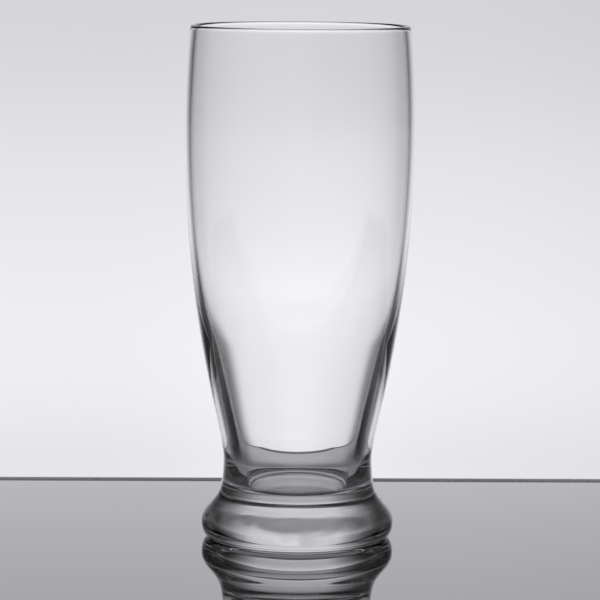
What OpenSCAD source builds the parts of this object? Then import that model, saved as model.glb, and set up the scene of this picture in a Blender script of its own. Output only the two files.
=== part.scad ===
// Footed cooler glass: a tall bowl with a soft belly, drawn in to a narrow waist and fused to a round foot.
// Millimetres, +Z up. The origin is the centre of the underside, on the surface that the glass stands on.

/* [Overall] */
// Height from the standing surface to the top of the lip
glass_h = 171; // [160:1:185]

/* [Bowl outside] */
// Outer diameter just below the lip
rim_d = 72.8; // [70:0.2:75.4]
// Lean of the wall at the lip, inwards for each millimetre upwards
rim_lean = 0.13; // [0.05:0.01:0.16]
// Length over which the wall keeps that lean below the lip
rim_pull = 7.3; // [3:0.1:12]
// Outer diameter at the widest ring of the belly
belly_d = 76; // [73:0.5:82]
// Distance from the lip down to the widest ring of the belly
belly_drop = 35; // [25:0.5:45]
// Reach of the belly's upright stretch towards the lip
belly_pull_up = 10; // [5:0.5:13]
// Reach of the belly's upright stretch towards the waist
belly_pull_down = 65; // [45:1:72]
// Outer diameter at the waist
waist_d = 49.6; // [46:0.2:54]
// Height of the waist above the standing surface
waist_z = 26.5; // [24:0.5:30]
// Reach of the waist's upright stretch towards the belly
waist_pull_up = 11; // [6:0.5:18]
// Reach of the waist's upright stretch towards the crease
waist_pull_down = 11; // [6:0.5:12]
// Outer diameter at the crease, where the hollow curve of the waist meets the round foot
crease_d = 57.1; // [55:0.1:60]
// Lean of the wall at the crease, outwards for each millimetre downwards
crease_lean = 0.68; // [0.5:0.01:1]
// Length over which the wall keeps that lean above the crease
crease_pull_up = 1.7; // [0.8:0.1:3]
// Length over which the wall keeps that lean below the crease
crease_pull_down = 1.4; // [0.8:0.1:2]

/* [Bowl inside] */
// Wall thickness at the lip
rim_wall = 1.95; // [1.4:0.05:2.4]
// Lean of the inner wall at the lip, inwards for each millimetre upwards
rim_inner_lean = 0.12; // [0.05:0.01:0.16]
// Wall thickness at the belly
belly_wall = 1.85; // [1.3:0.05:2.4]
// Reach of the inner wall's upright stretch from the belly towards the shoulder
inner_belly_pull = 32; // [22:1:40]
// Height of the inner shoulder, where the wall turns thick, above the cavity floor
shoulder_rise = 51.5; // [45:0.5:58]
// Wall thickness at the inner shoulder
shoulder_wall = 3.5; // [3:0.05:5]
// Lean of the inner wall at the shoulder, outwards for each millimetre upwards
shoulder_lean = 0.29; // [0.25:0.01:0.38]
// Length over which the inner wall keeps that lean above the shoulder
shoulder_pull_up = 13; // [6:1:16]
// Length over which the inner wall keeps that lean below the shoulder
shoulder_pull_down = 11.5; // [2:0.5:16]
// Wall thickness at the waist
waist_wall = 6.5; // [5:0.05:8]
// Height of the straight, slightly conical well above the cavity floor
well_h = 7; // [5:0.5:15]
// Length over which the inner wall keeps the well's slope above its top
well_pull = 12.5; // [0.5:0.5:16]
// How much narrower the well is at the cavity floor than at its top, on the radius
well_draft = 0.95; // [0.2:0.05:1.6]
// Radius between the well and the cavity floor
well_corner_r = 2.8; // [1:0.1:4]
// Thickness of the bowl's floor over the foot
floor_t = 4; // [3:0.5:6]

/* [Foot] */
// Height of the foot, up to the crease and the face that carries the bowl
foot_h = 12; // [10:0.5:14]
// Diameter at the widest ring of the foot
foot_d = 64.2; // [62:0.2:70]
// Height of the widest ring of the foot
bulge_z = 5.4; // [4:0.1:6.5]
// Reach of the bulge's upright stretch towards the crease
bulge_pull_up = 3.1; // [2:0.1:3.5]
// Reach of the bulge's upright stretch towards the standing ring
bulge_pull_down = 3; // [1.5:0.1:3.6]
// Outer diameter of the flat ring that the glass stands on
base_d = 57; // [51:0.5:60]
// Reach of the flat ring's level stretch under the bulge
base_pull = 2.6; // [1:0.1:3.2]
// Diameter of the hollow in the underside
punt_d = 46.5; // [36:0.5:50]
// Depth of the hollow in the underside at its centre
punt_h = 2.1; // [1:0.1:4]

/* [Hidden] */
$fn = 128;
// Straight steps in a long curve of an outline, in a short one and in a small radius
long_steps = 36;
short_steps = 18;
round_steps = 10;

belly_z = glass_h - belly_drop;
lip_r = rim_wall / 2;
lip_z = glass_h - lip_r;
floor_z = foot_h + floor_t;
shoulder_z = floor_z + shoulder_rise;
well_r = waist_d / 2 - waist_wall;
well_lean = well_draft / well_h;
well_angle = atan(well_lean);

// Points of a curve from a to d that leaves a towards b and reaches d from c
function curve(a, b, c, d, steps) = [
    for (i = [0:steps])
        let (t = i / steps, s = 1 - t)
            s * s * s * a + 3 * s * s * t * b + 3 * s * t * t * c + t * t * t * d
];

// Points of a circle's arc between two angles
function arc(centre, r, from, to, steps) = [
    for (i = [0:steps])
        let (angle = from + (to - from) * i / steps) centre + r * [cos(angle), sin(angle)]
];

// A list of points without its first one, which the curve before it ends on
function joined(points) = [for (i = [1:len(points) - 1]) points[i]];

// Radius of an outline at a height
function radius_at(points, z) = lookup(z, [for (p = points) [p.y, p.x]]);

// Rings of the outside, from the standing surface up
base_ring = [base_d / 2, 0];
bulge_ring = [foot_d / 2, bulge_z];
crease_ring = [crease_d / 2, foot_h];
waist_ring = [waist_d / 2, waist_z];
belly_ring = [belly_d / 2, belly_z];
lip_ring = [rim_d / 2, lip_z];

// Curves of the outside, between those rings
under_bulge = curve(
    base_ring, base_ring + [base_pull, 0], bulge_ring - [0, bulge_pull_down], bulge_ring, round_steps);
over_bulge = curve(
    bulge_ring, bulge_ring + [0, bulge_pull_up], crease_ring + crease_pull_down * [crease_lean, -1], crease_ring,
    round_steps);
cove = curve(
    crease_ring, crease_ring - crease_pull_up * [crease_lean, -1], waist_ring - [0, waist_pull_down], waist_ring,
    short_steps);
body = curve(
    waist_ring, waist_ring + [0, waist_pull_up], belly_ring - [0, belly_pull_down], belly_ring, long_steps);
neck = curve(
    belly_ring, belly_ring + [0, belly_pull_up], lip_ring + rim_pull * [rim_lean, -1], lip_ring, short_steps);

// Rings of the inside, from the lip down
inner_lip = lip_ring - [rim_wall, 0];
inner_belly = belly_ring - [belly_wall, 0];
inner_shoulder = [radius_at(body, shoulder_z) - shoulder_wall, shoulder_z];
well_top = [well_r, floor_z + well_h];
well_foot = [well_r - well_draft, floor_z];
well_corner = well_foot + well_corner_r * [-tan(45 - well_angle / 2), 1];

// Curves of the inside, between those rings
lip = arc(lip_ring - [lip_r, 0], lip_r, 0, 180, round_steps);
inner_neck = curve(
    inner_lip, inner_lip + rim_pull * [rim_inner_lean, -1], inner_belly + [0, belly_pull_up], inner_belly,
    short_steps);
inner_body = curve(
    inner_belly, inner_belly - [0, inner_belly_pull],
    inner_shoulder + shoulder_pull_up * [shoulder_lean, 1], inner_shoulder, short_steps);
inner_taper = curve(
    inner_shoulder, inner_shoulder - shoulder_pull_down * [shoulder_lean, 1],
    well_top + well_pull * [well_lean, 1], well_top, short_steps);
well_round = arc(well_corner, well_corner_r, -well_angle, -90, round_steps);

// Hollow of the underside: an arc through its rim and its centre
punt_arc_r = (pow(punt_d / 2, 2) + pow(punt_h, 2)) / (2 * punt_h);
punt_angle = asin(punt_d / 2 / punt_arc_r);
punt = arc([0, punt_h - punt_arc_r], punt_arc_r, 90, 90 - punt_angle, short_steps);

module bowl() {
    outside = concat(cove, joined(body), joined(neck));
    inside = concat(joined(lip), joined(inner_neck), joined(inner_body), joined(inner_taper), well_round);
    color("lightcyan", 0.5)
        rotate_extrude()
            polygon(concat([[0, foot_h]], outside, inside, [[0, floor_z]]));
}

module foot() {
    outside = concat(under_bulge, joined(over_bulge));
    color("lightsteelblue", 0.5)
        rotate_extrude()
            polygon(concat(punt, outside, [[0, foot_h]]));
}

bowl();
foot();
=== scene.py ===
"""Dresses the footed cooler glass: a blown bowl fused to a pressed foot, on a polished table in a pale room.

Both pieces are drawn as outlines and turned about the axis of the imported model, at its sizes. The set turns
about the vertical with the camera, as if the glass stood on a turntable, so each view has the same light.
"""

import logging
import math
from collections.abc import Callable
from dataclasses import dataclass, field, replace
from enum import Enum

import bpy
from mathutils import Matrix

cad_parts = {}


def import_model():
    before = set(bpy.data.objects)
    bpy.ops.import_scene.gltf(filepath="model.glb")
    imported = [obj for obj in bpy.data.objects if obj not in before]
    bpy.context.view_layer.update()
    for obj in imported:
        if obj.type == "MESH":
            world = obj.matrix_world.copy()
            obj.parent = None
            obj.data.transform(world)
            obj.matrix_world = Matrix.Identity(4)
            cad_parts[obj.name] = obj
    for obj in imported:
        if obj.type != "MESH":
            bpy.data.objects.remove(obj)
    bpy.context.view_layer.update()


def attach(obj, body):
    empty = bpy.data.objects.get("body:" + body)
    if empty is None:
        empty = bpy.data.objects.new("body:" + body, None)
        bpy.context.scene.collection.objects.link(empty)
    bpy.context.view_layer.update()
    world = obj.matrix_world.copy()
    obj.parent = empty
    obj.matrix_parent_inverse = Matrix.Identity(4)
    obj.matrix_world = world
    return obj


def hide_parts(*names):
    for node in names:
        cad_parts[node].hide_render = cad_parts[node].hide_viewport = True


log = logging.getLogger("cooler_glass")

MM = 0.001
LIGHT_BOUNCES = 32
MIRROR_BOUNCES = 16
SEAM_CROSSINGS = 64

Point = tuple[float, float]
Colour = tuple[float, float, float, float]
Levels = tuple[tuple[float, float], ...]
Place = Callable[[float, float], bool]


class Region(Enum):
    """Material slots of a glass piece, in order."""

    SURFACE = 0
    SEAM = 1
    UNDERSIDE = 2


def moved(point: Point, outwards: float, upwards: float) -> Point:
    """Gives a point of an outline moved by a distance outwards and upwards."""
    return point[0] + outwards, point[1] + upwards


def bend(a: Point, b: Point, c: Point, d: Point, steps: int) -> list[Point]:
    """Draws a smooth bend between two points of an outline.

    Args:
        a: First point.
        b: Point that the bend leaves the first one towards.
        c: Point that the bend reaches the last one from.
        d: Last point.
        steps: Straight steps along the bend.

    Returns:
        The points of the bend, both ends included.
    """
    points = []
    for i in range(steps + 1):
        t = i / steps
        s = 1.0 - t
        weights = (s**3, 3 * s * s * t, 3 * s * t * t, t**3)
        points.append(tuple(sum(w * p[k] for w, p in zip(weights, (a, b, c, d))) for k in (0, 1)))
    return points


def arc(centre: Point, radius: float, start: float, end: float, steps: int) -> list[Point]:
    """Draws a part of a circle in an outline.

    Args:
        centre: Centre of the circle.
        radius: Radius of the circle.
        start: Angle of the first point, in degrees from the outward direction.
        end: Angle of the last point.
        steps: Straight steps along the arc.

    Returns:
        The points of the arc, both ends included.
    """
    angles = [math.radians(start + (end - start) * i / steps) for i in range(steps + 1)]
    return [(centre[0] + radius * math.cos(a), centre[1] + radius * math.sin(a)) for a in angles]


def line(a: Point, b: Point, steps: int) -> list[Point]:
    """Draws a straight line between two points of an outline, in equal steps."""
    return [tuple(p + (q - p) * i / steps for p, q in zip(a, b)) for i in range(steps + 1)]


def joined(*runs: list[Point]) -> list[Point]:
    """Joins runs of points, each of which starts where the one before it ends, into one outline."""
    return runs[0] + [point for run in runs[1:] for point in run[1:]]


def radius_at(outline: list[Point], height: float) -> float:
    """Gives the radius of a rising outline at a height.

    Args:
        outline: Points of the outline, from the lowest to the highest.
        height: Height to look at.

    Returns:
        The radius there.

    Raises:
        ValueError: The outline doesn't reach that height.
    """
    for (r0, z0), (r1, z1) in zip(outline, outline[1:]):
        if z0 <= height <= z1:
            return r0 + (r1 - r0) * (height - z0) / (z1 - z0)
    raise ValueError(f"the outline has no point at height {height}")


@dataclass(frozen=True)
class Lathe:
    """Turns outlines in millimetres about the glass's axis into closed meshes in metres."""

    turns: int = 192
    merge_mm: float = 0.001
    sharp_angle: float = 40.0

    def turn(self, name: str, outline: list[Point]) -> bpy.types.Object:
        """Draws an outline point by point from a plane drawn together to one vertex, then spins it.

        Args:
            name: Name of the piece.
            outline: Radius and height of each point, from the axis round to the axis.

        Returns:
            The closed piece, at the origin.
        """
        radius, height = outline[0]
        bpy.ops.object.select_all(action="DESELECT")
        bpy.ops.mesh.primitive_plane_add(size=MM, location=(radius * MM, 0.0, height * MM))
        piece = bpy.context.object
        piece.name = piece.data.name = name
        bpy.ops.object.mode_set(mode="EDIT")
        bpy.ops.mesh.select_all(action="SELECT")
        bpy.ops.mesh.merge(type="CENTER")
        for near, far in zip(outline, outline[1:]):
            step = ((far[0] - near[0]) * MM, 0.0, (far[1] - near[1]) * MM)
            bpy.ops.mesh.extrude_vertices_move(TRANSFORM_OT_translate={"value": step})
        bpy.ops.mesh.select_all(action="SELECT")
        bpy.ops.mesh.spin(steps=self.turns, angle=math.tau, center=(0.0, 0.0, 0.0), axis=(0.0, 0.0, 1.0))
        bpy.ops.mesh.select_all(action="SELECT")
        bpy.ops.mesh.remove_doubles(threshold=self.merge_mm * MM)
        bpy.ops.mesh.normals_make_consistent(inside=False)
        bpy.ops.object.mode_set(mode="OBJECT")
        bpy.ops.object.transform_apply(location=True, rotation=True, scale=True)
        bpy.ops.object.shade_smooth_by_angle(angle=math.radians(self.sharp_angle))
        return piece


class NodeTree:
    """Short calls for placing and joining the nodes of one material or group."""

    column_width: float = 190.0
    new_stop: float = 0.5

    def __init__(self, tree: bpy.types.NodeTree) -> None:
        """Keeps the tree that the nodes go into."""
        self.tree = tree
        self.column = 0

    def add(self, kind: str, **settings: object) -> bpy.types.Node:
        """Adds a node.

        Args:
            kind: Type of the node, as Blender names it.
            **settings: Properties of the node and their values.

        Returns:
            The new node.
        """
        node = self.tree.nodes.new(kind)
        node.location = (self.column * self.column_width, 0.0)
        self.column += 1
        for name, value in settings.items():
            setattr(node, name, value)
        return node

    def join(self, output: bpy.types.NodeSocket, target: bpy.types.NodeSocket) -> None:
        """Joins an output to an input."""
        self.tree.links.new(output, target)

    def math(self, operation: str, *values: bpy.types.NodeSocket | float) -> bpy.types.NodeSocket:
        """Adds a sum on single values.

        Args:
            operation: Name of the sum, as Blender names it.
            *values: A socket or a number for each input.

        Returns:
            The socket of the result.
        """
        node = self.add("ShaderNodeMath", operation=operation)
        for target, value in zip(node.inputs, values):
            if isinstance(value, bpy.types.NodeSocket):
                self.join(value, target)
            else:
                target.default_value = value
        return node.outputs[0]

    def ramp(self, source: bpy.types.NodeSocket, stops: Levels) -> bpy.types.NodeSocket:
        """Maps a value to a level through a smooth curve near its stops.

        Args:
            source: The value.
            stops: Values with the level at each, from the curve's start to its end.

        Returns:
            The socket of the level, as a grey colour.
        """
        low, high = stops[0][0], stops[-1][0]
        span = self.add("ShaderNodeMapRange")
        span.inputs["From Min"].default_value = low
        span.inputs["From Max"].default_value = high
        self.join(source, span.inputs["Value"])
        node = self.add("ShaderNodeValToRGB")
        node.color_ramp.interpolation = "B_SPLINE"
        elements = node.color_ramp.elements
        while len(elements) < len(stops):
            elements.new(self.new_stop)
        for element, (value, level) in zip(elements, stops):
            element.position = (value - low) / (high - low)
            element.color = (level, level, level, 1.0)
        self.join(span.outputs["Result"], node.inputs["Fac"])
        return node.outputs["Color"]


class SharedEffects:
    """Effects that both pieces use, each a node group built once."""

    swell_detail: float = 1.0
    ring_unit: float = 1.0
    patch_detail: float = 3.0
    patch_start: float = 0.5
    patch_full: float = 0.8
    mix_first_colour: int = 6
    mix_second_colour: int = 7
    mix_result_colour: int = 2

    def __init__(self) -> None:
        """Builds the groups."""
        self.ripple = self._ripple()
        self.haze = self._haze()
        self.tint = self._tint()

    @staticmethod
    def _group(
        name: str, inputs: dict[str, str], outputs: dict[str, str]
    ) -> tuple[NodeTree, bpy.types.Node, bpy.types.Node]:
        """Starts a group with named sockets.

        Args:
            name: Name of the group.
            inputs: Socket type of each input.
            outputs: Socket type of each output.

        Returns:
            The group's nodes, its input node and its output node.
        """
        tree = bpy.data.node_groups.new(name, "ShaderNodeTree")
        for sockets, direction in ((inputs, "INPUT"), (outputs, "OUTPUT")):
            for label, kind in sockets.items():
                tree.interface.new_socket(name=label, in_out=direction, socket_type=kind)
        nodes = NodeTree(tree)
        return nodes, nodes.add("NodeGroupInput"), nodes.add("NodeGroupOutput")

    def _ripple(self) -> bpy.types.NodeTree:
        """Builds the mould ripple: broad swells in the skin of the glass and faint rings round it.

        Returns:
            The group, which gives a height.
        """
        nodes, given, result = self._group(
            "mould ripple",
            {"Vector": "NodeSocketVector", "Swell Scale": "NodeSocketFloat", "Ring Scale": "NodeSocketFloat",
             "Ring Share": "NodeSocketFloat"},
            {"Height": "NodeSocketFloat"},
        )
        swell = nodes.add("ShaderNodeTexNoise")
        swell.inputs["Detail"].default_value = self.swell_detail
        nodes.join(given.outputs["Vector"], swell.inputs["Vector"])
        nodes.join(given.outputs["Swell Scale"], swell.inputs["Scale"])
        height = nodes.add("ShaderNodeSeparateXYZ")
        nodes.join(given.outputs["Vector"], height.inputs["Vector"])
        along = nodes.math("MULTIPLY", height.outputs["Z"], given.outputs["Ring Scale"])
        rings = nodes.add("ShaderNodeTexNoise", noise_dimensions="1D")
        rings.inputs["Scale"].default_value = self.ring_unit
        nodes.join(along, rings.inputs["W"])
        ring_part = nodes.math("MULTIPLY", rings.outputs["Fac"], given.outputs["Ring Share"])
        nodes.join(nodes.math("ADD", swell.outputs["Fac"], ring_part), result.inputs["Height"])
        return nodes.tree

    def _haze(self) -> bpy.types.NodeTree:
        """Builds the handling haze: cloudy patches where the polish is a little duller.

        Returns:
            The group, which gives a roughness.
        """
        nodes, given, result = self._group(
            "handling haze",
            {"Vector": "NodeSocketVector", "Scale": "NodeSocketFloat", "Polish": "NodeSocketFloat",
             "Dullest": "NodeSocketFloat"},
            {"Roughness": "NodeSocketFloat"},
        )
        patches = nodes.add("ShaderNodeTexNoise")
        patches.inputs["Detail"].default_value = self.patch_detail
        nodes.join(given.outputs["Vector"], patches.inputs["Vector"])
        nodes.join(given.outputs["Scale"], patches.inputs["Scale"])
        span = nodes.add("ShaderNodeMapRange", interpolation_type="SMOOTHSTEP")
        span.inputs["From Min"].default_value = self.patch_start
        span.inputs["From Max"].default_value = self.patch_full
        nodes.join(patches.outputs["Fac"], span.inputs["Value"])
        nodes.join(given.outputs["Polish"], span.inputs["To Min"])
        nodes.join(given.outputs["Dullest"], span.inputs["To Max"])
        nodes.join(span.outputs["Result"], result.inputs["Roughness"])
        return nodes.tree

    def _tint(self) -> bpy.types.NodeTree:
        """Builds the body tint: the colour of the glass, deeper where the wall is thick.

        Returns:
            The group, which gives a colour.
        """
        nodes, given, result = self._group(
            "body tint",
            {"Vector": "NodeSocketVector", "Deep Height": "NodeSocketFloat",
             "Clear Height": "NodeSocketFloat", "Deep": "NodeSocketColor", "Clear": "NodeSocketColor"},
            {"Color": "NodeSocketColor"},
        )
        height = nodes.add("ShaderNodeSeparateXYZ")
        nodes.join(given.outputs["Vector"], height.inputs["Vector"])
        span = nodes.add("ShaderNodeMapRange", interpolation_type="SMOOTHSTEP")
        nodes.join(height.outputs["Z"], span.inputs["Value"])
        nodes.join(given.outputs["Deep Height"], span.inputs["From Min"])
        nodes.join(given.outputs["Clear Height"], span.inputs["From Max"])
        blend = nodes.add("ShaderNodeMix", data_type="RGBA")
        nodes.join(span.outputs["Result"], blend.inputs["Factor"])
        nodes.join(given.outputs["Deep"], blend.inputs[self.mix_first_colour])
        nodes.join(given.outputs["Clear"], blend.inputs[self.mix_second_colour])
        nodes.join(blend.outputs[self.mix_result_colour], result.inputs["Color"])
        return nodes.tree


@dataclass(frozen=True)
class GlassFinish:
    """Clear soda-lime glass with a slightly uneven, fire-polished skin. Heights in metres."""

    name: str
    deep: Colour
    clear: Colour
    deep_height: float
    clear_height: float
    swell_scale: float
    ring_scale: float
    ring_share: float
    ripple_depth: float
    haze_scale: float = 60.0
    polish: float = 0.0
    dullest: float = 0.012
    ior: float = 1.52

    def material(self, effects: SharedEffects) -> bpy.types.Material:
        """Makes the material.

        Args:
            effects: The shared effects that shape its colour, polish and skin.

        Returns:
            The material.
        """
        material = bpy.data.materials.new(self.name)
        material.use_nodes = True
        nodes = NodeTree(material.node_tree)
        shader = material.node_tree.nodes["Principled BSDF"]
        shader.inputs["Transmission Weight"].default_value = 1.0
        shader.inputs["IOR"].default_value = self.ior
        place = nodes.add("ShaderNodeTexCoord").outputs["Object"]
        tint = self._place_group(nodes, effects.tint, place, {
            "Deep Height": self.deep_height, "Clear Height": self.clear_height,
            "Deep": self.deep, "Clear": self.clear})
        haze = self._place_group(nodes, effects.haze, place, {
            "Scale": self.haze_scale, "Polish": self.polish, "Dullest": self.dullest})
        ripple = self._place_group(nodes, effects.ripple, place, {
            "Swell Scale": self.swell_scale, "Ring Scale": self.ring_scale, "Ring Share": self.ring_share})
        bump = nodes.add("ShaderNodeBump")
        bump.inputs["Strength"].default_value = 1.0
        bump.inputs["Distance"].default_value = self.ripple_depth
        nodes.join(tint.outputs["Color"], shader.inputs["Base Color"])
        nodes.join(haze.outputs["Roughness"], shader.inputs["Roughness"])
        nodes.join(ripple.outputs["Height"], bump.inputs["Height"])
        nodes.join(bump.outputs["Normal"], shader.inputs["Normal"])
        return material

    @staticmethod
    def _place_group(
        nodes: NodeTree, group: bpy.types.NodeTree, place: bpy.types.NodeSocket, values: dict[str, object]
    ) -> bpy.types.Node:
        """Places a shared effect in the material.

        Args:
            nodes: The material's nodes.
            group: The effect.
            place: The coordinates that it reads.
            values: Its other inputs.

        Returns:
            The effect's node.
        """
        node = nodes.add("ShaderNodeGroup", node_tree=group)
        nodes.join(place, node.inputs["Vector"])
        for name, value in values.items():
            node.inputs[name].default_value = value
        return node


BLOWN = GlassFinish(
    name="blown glass", deep=(0.975, 0.98, 0.98, 1.0), clear=(0.998, 1.0, 1.0, 1.0), deep_height=0.02,
    clear_height=0.09, swell_scale=35.0, ring_scale=60.0, ring_share=0.3, ripple_depth=0.00001)
PRESSED = GlassFinish(
    name="pressed glass", deep=(0.95, 0.955, 0.96, 1.0), clear=(0.965, 0.97, 0.975, 1.0), deep_height=0.0,
    clear_height=0.012, swell_scale=80.0, ring_scale=200.0, ring_share=0.3, ripple_depth=0.00002)
CHILLED = replace(
    PRESSED, name="chilled underside", swell_scale=110.0, ripple_depth=0.0004, haze_scale=90.0,
    polish=0.15, dullest=0.34)


@dataclass(frozen=True)
class FusedSeam:
    """The face where bowl and foot are fused, which light crosses as if it weren't there."""

    name: str = "fused seam"

    def material(self) -> bpy.types.Material:
        """Makes the material, which shows nothing.

        Returns:
            The material.
        """
        material = bpy.data.materials.new(self.name)
        material.use_nodes = True
        nodes = NodeTree(material.node_tree)
        material.node_tree.nodes.remove(material.node_tree.nodes["Principled BSDF"])
        clear = nodes.add("ShaderNodeBsdfTransparent")
        nodes.join(clear.outputs["BSDF"], material.node_tree.nodes["Material Output"].inputs["Surface"])
        return material


@dataclass(frozen=True)
class Crease:
    """The ring where the hollow curve of the waist meets the round foot, in millimetres."""

    diameter: float = 57.1
    height: float = 12.0
    lean: float = 0.68
    pull_up: float = 1.7
    pull_down: float = 1.4
    seam_tolerance: float = 0.002
    seam_steps: int = 2

    @property
    def ring(self) -> Point:
        """Point of the outline at the crease."""
        return self.diameter / 2, self.height

    def on_seam(self, radius: float, height: float) -> bool:
        """Tells whether a point lies on the fused face."""
        return abs(height - self.height) < self.seam_tolerance


def dress(
    piece: bpy.types.Object, materials: dict[Region, bpy.types.Material], places: dict[Region, Place]
) -> None:
    """Gives a piece its materials: the surface's first, and each other one on the faces in its place.

    Args:
        piece: The piece.
        materials: Material of each region, in the order of the regions.
        places: Which points belong to each region other than the surface.
    """
    bpy.ops.object.select_all(action="DESELECT")
    bpy.context.view_layer.objects.active = piece
    piece.select_set(True)
    for material in materials.values():
        piece.data.materials.append(material)
    for region, holds in places.items():
        bpy.ops.object.mode_set(mode="EDIT")
        bpy.ops.mesh.select_mode(type="FACE")
        bpy.ops.mesh.select_all(action="DESELECT")
        bpy.ops.object.mode_set(mode="OBJECT")
        for face in piece.data.polygons:
            points = [piece.data.vertices[i].co for i in face.vertices]
            face.select = all(holds(math.hypot(co.x, co.y) / MM, co.z / MM) for co in points)
        piece.active_material_index = region.value
        bpy.ops.object.mode_set(mode="EDIT")
        bpy.ops.object.material_slot_assign()
        bpy.ops.mesh.select_all(action="DESELECT")
        bpy.ops.mesh.select_mode(type="VERT")
        bpy.ops.object.mode_set(mode="OBJECT")


@dataclass(frozen=True)
class Bowl:
    """Blown bowl with its lip, belly, thick lower wall, waist and cavity floor. Sizes in millimetres."""

    crease: Crease = field(default_factory=Crease)
    glass_height: float = 171.0
    rim_diameter: float = 72.8
    rim_lean: float = 0.13
    rim_pull: float = 7.3
    belly_diameter: float = 76.0
    belly_drop: float = 35.0
    belly_pull_up: float = 10.0
    belly_pull_down: float = 65.0
    waist_diameter: float = 49.6
    waist_height: float = 26.5
    waist_pull_up: float = 11.0
    waist_pull_down: float = 11.0
    rim_wall: float = 1.95
    rim_inner_lean: float = 0.12
    belly_wall: float = 1.85
    inner_belly_pull: float = 32.0
    shoulder_rise: float = 51.5
    shoulder_wall: float = 3.5
    shoulder_lean: float = 0.29
    shoulder_pull_up: float = 13.0
    shoulder_pull_down: float = 11.5
    waist_wall: float = 6.5
    well_height: float = 7.0
    well_pull: float = 12.5
    well_draft: float = 0.95
    well_corner: float = 2.8
    floor_thickness: float = 4.0
    body_steps: int = 80
    cove_steps: int = 28
    neck_steps: int = 26
    lip_steps: int = 14
    inner_body_steps: int = 60
    taper_steps: int = 90
    well_steps: int = 12
    corner_steps: int = 18
    floor_steps: int = 8

    @property
    def floor_height(self) -> float:
        """Height of the cavity floor."""
        return self.crease.height + self.floor_thickness

    @property
    def lip_ring(self) -> Point:
        """Point of the outside where the wall meets the rounded lip."""
        return self.rim_diameter / 2, self.glass_height - self.rim_wall / 2

    @property
    def belly_ring(self) -> Point:
        """Widest point of the outside."""
        return self.belly_diameter / 2, self.glass_height - self.belly_drop

    @property
    def waist_ring(self) -> Point:
        """Narrowest point of the outside."""
        return self.waist_diameter / 2, self.waist_height

    def body(self) -> list[Point]:
        """Draws the outside of the wall from the waist up to the belly."""
        return bend(self.waist_ring, moved(self.waist_ring, 0, self.waist_pull_up),
                    moved(self.belly_ring, 0, -self.belly_pull_down), self.belly_ring, self.body_steps)

    def outside(self) -> list[Point]:
        """Draws the outside of the bowl.

        Returns:
            The points from the crease up to the lip.
        """
        crease = self.crease
        cove = bend(crease.ring, moved(crease.ring, -crease.pull_up * crease.lean, crease.pull_up),
                    moved(self.waist_ring, 0, -self.waist_pull_down), self.waist_ring, self.cove_steps)
        neck = bend(self.belly_ring, moved(self.belly_ring, 0, self.belly_pull_up),
                    moved(self.lip_ring, self.rim_pull * self.rim_lean, -self.rim_pull), self.lip_ring,
                    self.neck_steps)
        return joined(cove, self.body(), neck)

    def inside(self) -> list[Point]:
        """Draws the inside of the bowl.

        Returns:
            The points from the lip down to the edge of the cavity floor.
        """
        inner_lip = moved(self.lip_ring, -self.rim_wall, 0)
        inner_belly = moved(self.belly_ring, -self.belly_wall, 0)
        shoulder_z = self.floor_height + self.shoulder_rise
        shoulder = (radius_at(self.body(), shoulder_z) - self.shoulder_wall, shoulder_z)
        well_top = (self.waist_diameter / 2 - self.waist_wall, self.floor_height + self.well_height)
        well_lean = self.well_draft / self.well_height
        well_angle = math.degrees(math.atan(well_lean))
        corner_reach = self.well_corner * math.tan(math.radians(45.0 - well_angle / 2))
        corner = (well_top[0] - self.well_draft - corner_reach, self.floor_height + self.well_corner)
        neck = bend(inner_lip, moved(inner_lip, self.rim_pull * self.rim_inner_lean, -self.rim_pull),
                    moved(inner_belly, 0, self.belly_pull_up), inner_belly, self.neck_steps)
        over_shoulder = moved(shoulder, self.shoulder_pull_up * self.shoulder_lean, self.shoulder_pull_up)
        under_shoulder = moved(
            shoulder, -self.shoulder_pull_down * self.shoulder_lean, -self.shoulder_pull_down)
        body = bend(inner_belly, moved(inner_belly, 0, -self.inner_belly_pull), over_shoulder, shoulder,
                    self.inner_body_steps)
        taper = bend(shoulder, under_shoulder, moved(well_top, self.well_pull * well_lean, self.well_pull),
                     well_top, self.taper_steps)
        rounding = arc(corner, self.well_corner, -well_angle, -90, self.corner_steps)
        return joined(neck, body, taper, line(well_top, rounding[0], self.well_steps), rounding)

    def outline(self) -> list[Point]:
        """Draws the whole outline of the bowl.

        Returns:
            The points from the axis on the fused face round to the axis on the cavity floor.
        """
        seam = line((0.0, self.crease.height), self.crease.ring, self.crease.seam_steps)
        lip_radius = self.rim_wall / 2
        lip = arc(moved(self.lip_ring, -lip_radius, 0), lip_radius, 0, 180, self.lip_steps)
        inside = self.inside()
        floor = line(inside[-1], (0.0, self.floor_height), self.floor_steps)
        return joined(seam, self.outside(), lip, inside, floor)

    def build(self, lathe: Lathe) -> bpy.types.Object:
        """Turns the bowl on the lathe."""
        return lathe.turn("blown_bowl", self.outline())

    def dress(self, piece: bpy.types.Object, glass: bpy.types.Material, seam: bpy.types.Material) -> None:
        """Gives the bowl its glass, and the seam on its fused face."""
        dress(piece, {Region.SURFACE: glass, Region.SEAM: seam}, {Region.SEAM: self.crease.on_seam})


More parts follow.
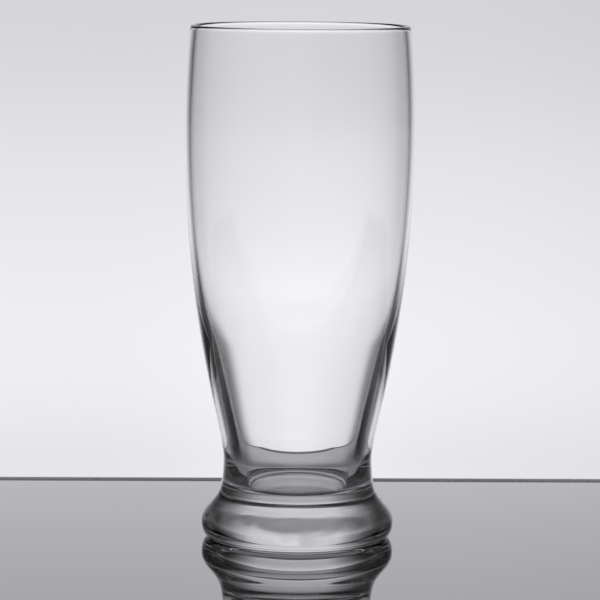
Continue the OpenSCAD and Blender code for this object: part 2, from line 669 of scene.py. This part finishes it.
@dataclass(frozen=True)
class Foot:
    """Pressed foot with a bulge, a flat standing ring and a hollowed underside. Sizes in millimetres."""

    crease: Crease = field(default_factory=Crease)
    bulge_diameter: float = 64.2
    bulge_height: float = 5.4
    bulge_pull_up: float = 3.1
    bulge_pull_down: float = 3.0
    base_diameter: float = 57.0
    base_pull: float = 2.6
    hollow_diameter: float = 46.5
    hollow_depth: float = 2.1
    room_over_hollow: float = 0.1
    room_round_hollow: float = 0.01
    hollow_steps: int = 40
    ring_steps: int = 12
    bulge_steps: int = 20

    def underside(self) -> list[Point]:
        """Draws the underside of the foot.

        Returns:
            The points from the axis in the hollow out to the edge of the standing ring.
        """
        half = self.hollow_diameter / 2
        radius = (half**2 + self.hollow_depth**2) / (2 * self.hollow_depth)
        spread = math.degrees(math.asin(half / radius))
        hollow = arc((0.0, self.hollow_depth - radius), radius, 90, 90 - spread, self.hollow_steps)
        hollow[0] = (0.0, self.hollow_depth)
        return joined(hollow, line((half, 0.0), (self.base_diameter / 2, 0.0), self.ring_steps))

    def outside(self) -> list[Point]:
        """Draws the outside of the foot.

        Returns:
            The points from the standing ring up to the crease.
        """
        crease = self.crease
        base = (self.base_diameter / 2, 0.0)
        bulge = (self.bulge_diameter / 2, self.bulge_height)
        under = bend(base, moved(base, self.base_pull, 0), moved(bulge, 0, -self.bulge_pull_down), bulge,
                     self.bulge_steps)
        over = bend(bulge, moved(bulge, 0, self.bulge_pull_up),
                    moved(crease.ring, crease.pull_down * crease.lean, -crease.pull_down), crease.ring,
                    self.bulge_steps)
        return joined(under, over)

    def outline(self) -> list[Point]:
        """Draws the whole outline, from the axis on the underside round to the axis on the fused face."""
        seam = line(self.crease.ring, (0.0, self.crease.height), self.crease.seam_steps)
        return joined(self.underside(), self.outside(), seam)

    def in_hollow(self, radius: float, height: float) -> bool:
        """Tells whether a point lies on the hollow of the underside."""
        return (height < self.hollow_depth + self.room_over_hollow
                and radius < self.hollow_diameter / 2 + self.room_round_hollow)

    def build(self, lathe: Lathe) -> bpy.types.Object:
        """Turns the foot on the lathe."""
        return lathe.turn("pressed_foot", self.outline())

    def dress(
        self, piece: bpy.types.Object, glass: bpy.types.Material, seam: bpy.types.Material,
        underside: bpy.types.Material
    ) -> None:
        """Gives the foot its glass, the seam on its fused face and the chilled skin in its hollow."""
        dress(piece, {Region.SURFACE: glass, Region.SEAM: seam, Region.UNDERSIDE: underside},
              {Region.SEAM: self.crease.on_seam, Region.UNDERSIDE: self.in_hollow})


@dataclass(frozen=True)
class PhotoCamera:
    """Long lens a little above the lip, at the photograph's angle.

    Places and distances are in metres, angles in degrees, lens and sensor in millimetres.
    """

    place: tuple[float, float, float] = (0.00044, -1.038, 0.2088)
    pitch: float = 7.087
    roll: float = 0.431
    lens: float = 188.46
    sensor: float = 36.0
    nearest: float = 0.01
    farthest: float = 20.0

    def build(self) -> bpy.types.Object:
        """Adds the camera and makes it the scene's own.

        Returns:
            The camera.
        """
        bpy.ops.object.select_all(action="DESELECT")
        bpy.ops.object.camera_add(location=self.place)
        camera = bpy.context.object
        camera.name = "photo_camera"
        aim = Matrix.Rotation(math.radians(90.0 - self.pitch), 4, "X") @ Matrix.Rotation(
            math.radians(self.roll), 4, "Z")
        camera.rotation_euler = aim.to_euler()
        camera.data.sensor_width = self.sensor
        camera.data.lens = self.lens
        camera.data.clip_start = self.nearest
        camera.data.clip_end = self.farthest
        bpy.context.scene.camera = camera
        return camera


@dataclass(frozen=True)
class StudioSet:
    """Polished table in a room whose light goes by direction. Lengths in metres, angles in degrees.

    Levels of the room pair an angle with the light there: an elevation where the name has upwards, narrowing
    or lift in it, and otherwise the turn from the backdrop's middle. Levels of the table pair the slant of a
    ray with the mirror's share or tone there. The slant is 0 straight down and 1 along the table.
    """

    table_back: float = 0.104
    table_front: float = -0.19
    table_half_width: float = 0.6
    table_thickness: float = 0.012
    table_turn: float = 1.15
    table_colour: Colour = (0.68, 0.68, 0.7, 1.0)
    table_roughness: float = 0.4
    edge_height: float = 0.0006
    edge_width: float = 0.0012
    # Painted shade: the grey of the dark strip that stands in for the shade line along the table's back edge.
    edge_shade_colour: Colour = (0.42, 0.42, 0.435, 1.0)
    edge_roughness: float = 0.5
    mirror_roughness: float = 0.02
    mirror_tone: Levels = ((0.5, 0.4), (0.7, 0.45), (0.784, 0.58), (0.82, 0.74), (1.0, 1.0))
    mirror_tone_in_glass: float = 0.62
    mirror_start: float = 0.5
    mirror_full: float = 0.77
    mirror_least: float = 0.3
    mirror_in_glass: Levels = (
        (0.0, 0.3), (0.3, 0.3), (0.42, 0.55), (0.5, 0.86), (0.57, 0.9), (0.61, 1.0), (1.0, 1.0))
    room_radius: float = 3.0
    room_segments: int = 96
    room_rings: int = 48
    slant: float = 0.18
    off_centre: float = 2.0
    slant_behind: float = 0.3
    upwards: Levels = (
        (-90, 0.6), (-40, 0.68), (-30, 0.74), (-22, 0.92), (-14, 0.99), (-11.5, 0.96), (-9.9, 0.79),
        (-8.5, 0.87), (-7, 0.91), (-5, 0.89), (-2, 0.81), (0, 0.735), (2, 0.69), (6, 0.69), (11, 0.66),
        (15, 0.73), (19, 0.77), (22, 0.62), (25, 0.33), (30, 0.15), (36, 0.26), (43, 0.38), (55, 0.38),
        (90, 0.26))
    across: Levels = (
        (0, 1.01), (3, 1.0), (6, 0.97), (15.5, 0.96), (19.7, 0.8), (23.7, 0.55), (27.7, 0.38), (32.5, 0.24),
        (37.5, 0.1), (45, 0.04), (60, 0.02), (180, 0.02))
    half_narrowing: Levels = (
        (-90, 0.9), (-26, 0.95), (-20, 0.97), (-15, 0.68), (-10, 0.47), (-6, 0.44), (0, 0.48), (7, 0.55),
        (20, 0.55), (38, 0.4), (60, 0.3), (90, 0.05))
    behind: Levels = (
        (0, 0.0), (25, 0.03), (40, 0.15), (55, 0.25), (75, 0.35), (95, 0.55), (115, 0.75), (140, 0.9),
        (180, 1.0))
    behind_upwards: Levels = (
        (-90, 0.5), (-22, 0.5), (-14, 1.0), (-4, 1.0), (1, 0.4), (6, 0.15), (14, 0.07), (20, 0.06),
        (90, 0.08))
    glow: Levels = ((0, 0.05), (1, 0.05), (2, 0.045), (3, 0.02), (5, 0.0), (8, 0.0))
    glow_upwards: Levels = (
        (-90, 0.3), (-20, 0.6), (-14, 1.0), (-9, 1.0), (-6, 0.4), (-3, 0.05), (0, 0.0), (90, 0.0))
    lift_in_glass: Levels = (
        (-90, 0.0), (-13, 0.0), (-11.5, 0.03), (-9.9, 0.19), (-8.5, 0.14), (-7, 0.08), (-5, 0.03), (-2, 0.0),
        (90, 0.0))
    white: Colour = (0.962, 0.954, 1.0, 1.0)
    world_level: float = 0.85

    def build(self, camera: bpy.types.Object) -> None:
        """Builds the set on a pivot that turns about the vertical with the camera.

        Args:
            camera: The camera that the set turns with.
        """
        pivot = self._pivot(camera)
        for piece in (self._table(), self._painted_edge_shade(), self._room()):
            piece.parent = pivot
            log.info("set piece %s", piece.name)
        self._world()

    @staticmethod
    def _pivot(camera: bpy.types.Object) -> bpy.types.Object:
        """Adds the set's pivot under the glass.

        Args:
            camera: The camera whose turn about the vertical it follows.

        Returns:
            The pivot.
        """
        bpy.ops.object.select_all(action="DESELECT")
        bpy.ops.object.empty_add(type="PLAIN_AXES", location=(0.0, 0.0, 0.0))
        pivot = bpy.context.object
        pivot.name = "set_pivot"
        turn = pivot.constraints.new("COPY_ROTATION")
        turn.target = camera
        turn.use_x = turn.use_y = False
        return pivot

    def _table(self) -> bpy.types.Object:
        """Builds the table.

        Returns:
            The table.
        """
        depth = self.table_back - self.table_front
        table = self._slab(
            "table", (2 * self.table_half_width, depth, self.table_thickness),
            (0.0, self.table_front + depth / 2, -self.table_thickness / 2))
        table.data.materials.append(self._polish())
        return table

    def _painted_edge_shade(self) -> bpy.types.Object:
        """Builds a thin dark strip along the table's back edge: painted shade that stands in for the dark
        shade line there.

        Returns:
            The strip of painted shade.
        """
        shade_strip = self._slab(
            "painted_edge_shade", (2 * self.table_half_width, self.edge_width, self.edge_height),
            (0.0, self.table_back, self.edge_height / 2))
        # Painted shade: a flat dark grey where the table's back edge shows a shade line.
        material = bpy.data.materials.new("painted edge shade")
        material.use_nodes = True
        shader = material.node_tree.nodes["Principled BSDF"]
        shader.inputs["Base Color"].default_value = self.edge_shade_colour
        shader.inputs["Roughness"].default_value = self.edge_roughness
        shade_strip.data.materials.append(material)
        return shade_strip

    def _slab(
        self, name: str, size: tuple[float, float, float], place: tuple[float, float, float]
    ) -> bpy.types.Object:
        """Builds a slab of the table, turned with it about the vertical.

        Args:
            name: Name of the slab.
            size: Its width, depth and height.
            place: Its centre before it is turned.

        Returns:
            The slab.
        """
        bpy.ops.object.select_all(action="DESELECT")
        bpy.ops.mesh.primitive_cube_add(size=1.0)
        slab = bpy.context.object
        slab.name = name
        slab.scale = size
        slab.location = place
        bpy.ops.object.transform_apply(location=True, rotation=True, scale=True)
        slab.rotation_euler = (0.0, 0.0, math.radians(self.table_turn))
        return slab

    def _polish(self) -> bpy.types.Material:
        """Makes the table's finish: pale from above, and a soft mirror at the photograph's low angle.

        Returns:
            The material.
        """
        material = bpy.data.materials.new("polished table")
        material.use_nodes = True
        nodes = NodeTree(material.node_tree)
        pale = material.node_tree.nodes["Principled BSDF"]
        pale.inputs["Base Color"].default_value = self.table_colour
        pale.inputs["Roughness"].default_value = self.table_roughness
        angle = nodes.add("ShaderNodeLayerWeight")
        angle.inputs["Blend"].default_value = 0.5
        slant = angle.outputs["Facing"]
        seen_in_glass = self._seen_in_glass(nodes)
        mirror = nodes.add("ShaderNodeBsdfGlossy")
        mirror.inputs["Roughness"].default_value = self.mirror_roughness
        tone = nodes.ramp(slant, self.mirror_tone)
        tone_in_glass = nodes.math("MULTIPLY", seen_in_glass, self.mirror_tone_in_glass)
        nodes.join(nodes.math("MAXIMUM", tone, tone_in_glass), mirror.inputs["Color"])
        share = nodes.add("ShaderNodeMapRange", interpolation_type="SMOOTHSTEP")
        share.inputs["From Min"].default_value = self.mirror_start
        share.inputs["From Max"].default_value = self.mirror_full
        share.inputs["To Min"].default_value = self.mirror_least
        share.inputs["To Max"].default_value = 1.0
        nodes.join(slant, share.inputs["Value"])
        share_in_glass = nodes.math("MULTIPLY", nodes.ramp(slant, self.mirror_in_glass), seen_in_glass)
        blend = nodes.add("ShaderNodeMixShader")
        nodes.join(nodes.math("MAXIMUM", share.outputs["Result"], share_in_glass), blend.inputs["Fac"])
        nodes.join(pale.outputs["BSDF"], blend.inputs[1])
        nodes.join(mirror.outputs["BSDF"], blend.inputs[2])
        nodes.join(blend.outputs["Shader"], material.node_tree.nodes["Material Output"].inputs["Surface"])
        return material

    @staticmethod
    def _seen_in_glass(nodes: NodeTree) -> bpy.types.NodeSocket:
        """Gives 1 for a surface seen through the glass or in a mirror, and 0 for one seen directly."""
        return nodes.math("SUBTRACT", 1.0, nodes.add("ShaderNodeLightPath").outputs["Is Camera Ray"])

    def _room(self) -> bpy.types.Object:
        """Builds the room round the set, which lights the glass and casts no shadow.

        Returns:
            The room.
        """
        bpy.ops.object.select_all(action="DESELECT")
        bpy.ops.mesh.primitive_uv_sphere_add(
            segments=self.room_segments, ring_count=self.room_rings, radius=self.room_radius)
        room = bpy.context.object
        room.name = "room"
        room.visible_diffuse = False
        room.visible_shadow = False
        room.data.materials.append(self._room_light())
        return room

    def _room_light(self) -> bpy.types.Material:
        """Makes the room's light: a pale backdrop between dark flanks, and soft light overhead and behind.

        Returns:
            The material.
        """
        material = bpy.data.materials.new("room")
        material.use_nodes = True
        nodes = NodeTree(material.node_tree)
        material.node_tree.nodes.remove(material.node_tree.nodes["Principled BSDF"])
        parts = nodes.add("ShaderNodeSeparateXYZ")
        nodes.join(nodes.add("ShaderNodeTexCoord").outputs["Object"], parts.inputs["Vector"])
        rise = nodes.math("DIVIDE", parts.outputs["Z"], self.room_radius)
        side = nodes.math("ARCTAN2", parts.outputs["X"], parts.outputs["Y"])
        turn = nodes.math("ABSOLUTE", side)

        reach = nodes.math("ABSOLUTE", nodes.math("SUBTRACT", side, math.radians(self.off_centre)))
        half_narrowing = nodes.ramp(rise, self.by_rise(self.half_narrowing))
        narrowing = nodes.math("MULTIPLY", half_narrowing, 2.0)
        across = nodes.ramp(nodes.math("MULTIPLY", reach, narrowing), self.by_turn(self.across))
        lift = nodes.math(
            "MULTIPLY", nodes.ramp(rise, self.by_rise(self.lift_in_glass)), self._seen_in_glass(nodes))
        upwards = nodes.math("ADD", nodes.ramp(rise, self.by_rise(self.upwards)), lift)
        glow = nodes.math(
            "MULTIPLY", nodes.ramp(turn, self.by_turn(self.glow)),
            nodes.ramp(rise, self.by_rise(self.glow_upwards)))
        slant = nodes.math("MULTIPLY_ADD", parts.outputs["X"], -self.slant / self.room_radius, 1.0)
        backdrop = nodes.math("MULTIPLY_ADD", nodes.math("MULTIPLY", across, upwards), slant, glow)

        slant_behind = nodes.math(
            "MULTIPLY_ADD", parts.outputs["X"], self.slant_behind / self.room_radius, 1.0)
        behind = nodes.math("MULTIPLY", slant_behind, nodes.math(
            "MULTIPLY", nodes.ramp(turn, self.by_turn(self.behind)),
            nodes.ramp(rise, self.by_rise(self.behind_upwards))))

        light = nodes.add("ShaderNodeEmission")
        light.inputs["Color"].default_value = self.white
        nodes.join(nodes.math("MAXIMUM", backdrop, behind), light.inputs["Strength"])
        nodes.join(light.outputs["Emission"], material.node_tree.nodes["Material Output"].inputs["Surface"])
        return material

    @staticmethod
    def by_rise(levels: Levels) -> Levels:
        """Turns levels by elevation, in degrees, into levels by the height on a room of radius 1."""
        return tuple((math.sin(math.radians(angle)), level) for angle, level in levels)

    @staticmethod
    def by_turn(levels: Levels) -> Levels:
        """Turns levels by the angle from the backdrop's middle, in degrees, into levels by radians."""
        return tuple((math.radians(angle), level) for angle, level in levels)

    def _world(self) -> None:
        """Sets the soft light on the table."""
        world = bpy.data.worlds.new("soft light")
        bpy.context.scene.world = world
        world.use_nodes = True
        background = world.node_tree.nodes["Background"]
        background.inputs["Color"].default_value = self.white
        background.inputs["Strength"].default_value = self.world_level


def main() -> None:
    """Loads the frame, builds and dresses both pieces, and sets up the studio."""
    logging.basicConfig(level=logging.INFO, format="%(name)s: %(message)s")
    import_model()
    scene = bpy.context.scene
    scene.view_settings.view_transform = "Standard"
    scene.cycles.max_bounces = LIGHT_BOUNCES
    scene.cycles.transmission_bounces = LIGHT_BOUNCES
    scene.cycles.glossy_bounces = MIRROR_BOUNCES
    scene.cycles.transparent_max_bounces = SEAM_CROSSINGS

    crease = Crease()
    lathe = Lathe()
    bowl = Bowl(crease=crease)
    foot = Foot(crease=crease)
    effects = SharedEffects()
    seam = FusedSeam().material()
    bowl_piece = bowl.build(lathe)
    bowl.dress(bowl_piece, BLOWN.material(effects), seam)
    foot_piece = foot.build(lathe)
    foot.dress(foot_piece, PRESSED.material(effects), seam, CHILLED.material(effects))
    for piece, node, slot in ((bowl_piece, "bowl", "bowl_glass"), (foot_piece, "foot", "foot_glass")):
        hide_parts(node)
        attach(piece, "root")
        log.info("piece %s: %d faces", piece.name, len(piece.data.polygons))

    camera = PhotoCamera().build()
    StudioSet().build(camera)


if __name__ == "__main__":
    main()
